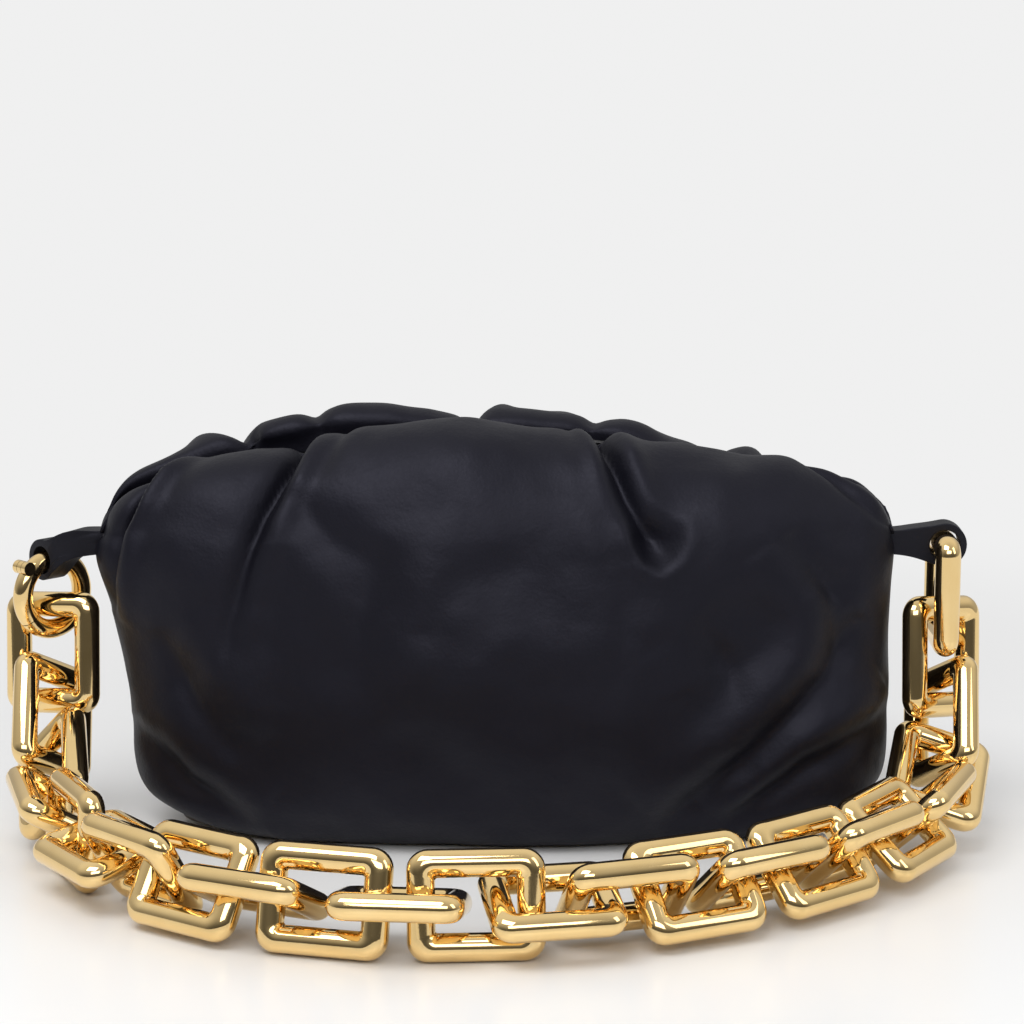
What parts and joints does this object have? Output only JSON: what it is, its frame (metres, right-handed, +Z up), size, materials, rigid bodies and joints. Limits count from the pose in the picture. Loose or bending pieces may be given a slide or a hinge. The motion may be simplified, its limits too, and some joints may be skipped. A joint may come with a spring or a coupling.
{
  "type": "chain shoulder bag",
  "caption": "Slack black leather pouch bag on a hinged mouth frame that opens, with a heavy polished gold link chain strap swivelling from leather loops and a hinged gate ring.",
  "frame": {"origin": "centre of the flat base, on the floor", "axes": "+X along the mouth, -Y to the front where the chain lies, +Z up"},
  "size_m": [0.3773, 0.2447, 0.158],
  "materials": {
    "leather": "soft satin, fine grain",
    "cloth": "woven lining",
    "board": "stiff base board",
    "frame_metal": "brushed",
    "magnet": "plated",
    "gold": "polished pale gold"
  },
  "bodies": {
    "pouch": {"leather_pouch": "leather", "lining": "cloth", "base_board": "board", "left_bracket": "frame_metal", "right_bracket": "frame_metal"},
    "front_jaw": {"front_frame": "frame_metal", "front_magnets": "magnet", "front_lip": "leather", "front_hem": "leather"},
    "rear_jaw": {"rear_frame": "frame_metal", "rear_magnets": "magnet", "rear_lip": "leather", "rear_hem": "leather"},
    "strap": {"left_loop": "leather", "right_loop": "leather", "left_stud": "gold", "right_stud": "gold", "link_01": "gold"},
    "link_02": {"link_02": "gold"},
    "link_03": {"link_03": "gold"},
    "link_04": {"link_04": "gold"},
    "link_05": {"link_05": "gold"},
    "link_06": {"link_06": "gold"},
    "link_07": {"link_07": "gold"},
    "link_08": {"link_08": "gold"},
    "link_09": {"link_09": "gold"},
    "link_10": {"link_10": "gold"},
    "link_11": {"link_11": "gold"},
    "link_12": {"link_12": "gold"},
    "link_13": {"link_13": "gold"},
    "link_14": {"link_14": "gold"},
    "link_15": {"link_15": "gold"},
    "link_16": {"link_16": "gold"},
    "link_17": {"link_17": "gold"},
    "link_18": {"link_18": "gold"},
    "link_19": {"link_19": "gold"},
    "link_20": {"link_20": "gold"},
    "link_21": {"link_21": "gold"},
    "link_22": {"link_22": "gold"},
    "link_23": {"link_23": "gold"},
    "link_24": {"link_24": "gold"},
    "ring": {"gate_ring": "gold", "ring_pin": "gold"},
    "gate": {"ring_gate": "gold"}
  },
  "joints": [
    {"name": "front_open", "type": "hinge", "parent": "pouch", "child": "front_jaw", "pos_m": [0, 0, 0.11], "axis": [1, 0, 0], "range_deg": [0, 40]},
    {"name": "rear_open", "type": "hinge", "parent": "pouch", "child": "rear_jaw", "pos_m": [0, 0, 0.11], "axis": [-1, 0, 0], "range_deg": [0, 40]},
    {"name": "strap_swing", "type": "hinge", "parent": "pouch", "child": "strap", "pos_m": [0, 0, 0.11], "axis": [-1, 0, 0], "range_deg": [0, 210]},
    {"name": "link_02_rock", "type": "hinge", "parent": "strap", "child": "link_02", "pos_m": [0.17046, -0.00247, 0.06499], "axis": [-0.0037, -0.1913, -0.9815], "range_deg": [-1.5, 1.5]},
    {"name": "link_03_rock", "type": "hinge", "parent": "strap", "child": "link_03", "pos_m": [0.16963, -0.01276, 0.04204], "axis": [-0.0606, -0.6044, -0.7944], "range_deg": [-1.5, 1.5]},
    {"name": "link_04_rock", "type": "hinge", "parent": "strap", "child": "link_04", "pos_m": [0.166, -0.03182, 0.02608], "axis": [-0.2203, -0.8706, -0.44], "range_deg": [-1.5, 1.5]},
    {"name": "link_05_rock", "type": "hinge", "parent": "strap", "child": "link_05", "pos_m": [0.15787, -0.05484, 0.01969], "axis": [-0.409, -0.9109, -0.0544], "range_deg": [-1.5, 1.5]},
    {"name": "link_06_rock", "type": "hinge", "parent": "strap", "child": "link_06", "pos_m": [0.14542, -0.07738, 0.01899], "axis": [-0.5538, -0.8327, 0], "range_deg": [-3, 3]},
    {"name": "link_07_rock", "type": "hinge", "parent": "strap", "child": "link_07", "pos_m": [0.12961, -0.09774, 0.01899], "axis": [-0.6698, -0.7426, 0], "range_deg": [-8, 8]},
    {"name": "link_08_rock", "type": "hinge", "parent": "strap", "child": "link_08", "pos_m": [0.1111, -0.1157, 0.01899], "axis": [-0.7626, -0.6469, 0], "range_deg": [-8, 8]},
    {"name": "link_09_rock", "type": "hinge", "parent": "strap", "child": "link_09", "pos_m": [0.09042, -0.13112, 0.01899], "axis": [-0.8374, -0.5466, 0], "range_deg": [-8, 8]},
    {"name": "link_10_rock", "type": "hinge", "parent": "strap", "child": "link_10", "pos_m": [0.06799, -0.14388, 0.01899], "axis": [-0.8978, -0.4404, 0], "range_deg": [-8, 8]},
    {"name": "link_11_rock", "type": "hinge", "parent": "strap", "child": "link_11", "pos_m": [0.04417, -0.15378, 0.01899], "axis": [-0.9455, -0.3257, 0], "range_deg": [-8, 8]},
    {"name": "link_12_rock", "type": "hinge", "parent": "strap", "child": "link_12", "pos_m": [0.01928, -0.16057, 0.01899], "axis": [-0.9799, -0.1996, 0], "range_deg": [-8, 8]},
    {"name": "link_13_rock", "type": "hinge", "parent": "strap", "child": "link_13", "pos_m": [-0.00628, -0.16393, 0.01899], "axis": [-0.9982, -0.06, 0], "range_deg": [-8, 8]},
    {"name": "link_14_rock", "type": "hinge", "parent": "strap", "child": "link_14", "pos_m": [-0.03206, -0.16349, 0.01899], "axis": [-0.9956, 0.0935, 0], "range_deg": [-8, 8]},
    {"name": "link_15_rock", "type": "hinge", "parent": "strap", "child": "link_15", "pos_m": [-0.05741, -0.15896, 0.01899], "axis": [-0.9663, 0.2574, 0], "range_deg": [-8, 8]},
    {"name": "link_16_rock", "type": "hinge", "parent": "strap", "child": "link_16", "pos_m": [-0.08161, -0.15016, 0.01899], "axis": [-0.906, 0.4233, 0], "range_deg": [-8, 8]},
    {"name": "link_17_rock", "type": "hinge", "parent": "strap", "child": "link_17", "pos_m": [-0.10385, -0.1372, 0.01899], "axis": [-0.8149, 0.5795, 0], "range_deg": [-8, 8]},
    {"name": "link_18_rock", "type": "hinge", "parent": "strap", "child": "link_18", "pos_m": [-0.12343, -0.12047, 0.01899], "axis": [-0.6992, 0.7149, 0], "range_deg": [-8, 8]},
    {"name": "link_19_rock", "type": "hinge", "parent": "strap", "child": "link_19", "pos_m": [-0.13981, -0.10059, 0.01899], "axis": [-0.5682, 0.8229, 0], "range_deg": [-8, 8]},
    {"name": "link_20_rock", "type": "hinge", "parent": "strap", "child": "link_20", "pos_m": [-0.15271, -0.07829, 0.01899], "axis": [-0.4305, 0.9026, 0], "range_deg": [-3, 3]},
    {"name": "link_21_rock", "type": "hinge", "parent": "strap", "child": "link_21", "pos_m": [-0.16204, -0.05429, 0.01988], "axis": [-0.2912, 0.9541, 0.0693], "range_deg": [-3, 3]},
    {"name": "link_22_rock", "type": "hinge", "parent": "strap", "child": "link_22", "pos_m": [-0.16766, -0.03067, 0.0268], "axis": [-0.1438, 0.8733, 0.4655], "range_deg": [-3, 3]},
    {"name": "link_23_rock", "type": "hinge", "parent": "strap", "child": "link_23", "pos_m": [-0.16999, -0.01185, 0.0433], "axis": [-0.0364, 0.5834, 0.8114], "range_deg": [-3, 3]},
    {"name": "link_24_rock", "type": "hinge", "parent": "strap", "child": "link_24", "pos_m": [-0.17049, -0.00215, 0.06653], "axis": [-0.0019, 0.1666, 0.986], "range_deg": [-3, 3]},
    {"name": "ring_turn", "type": "hinge", "parent": "strap", "child": "ring", "pos_m": [-0.17051, 0, 0.08925], "axis": [0.7071, -0.7071, 0], "range_deg": [-10, 10]},
    {"name": "gate_open", "type": "hinge", "parent": "ring", "child": "gate", "pos_m": [-0.17956, -0.00905, 0.10118], "axis": [-0.7071, 0.7071, 0], "range_deg": [0, 50]}
  ],
  "couplings": [
    {"joint": "rear_open", "follows": "front_open", "ratio": 1}
  ]
}
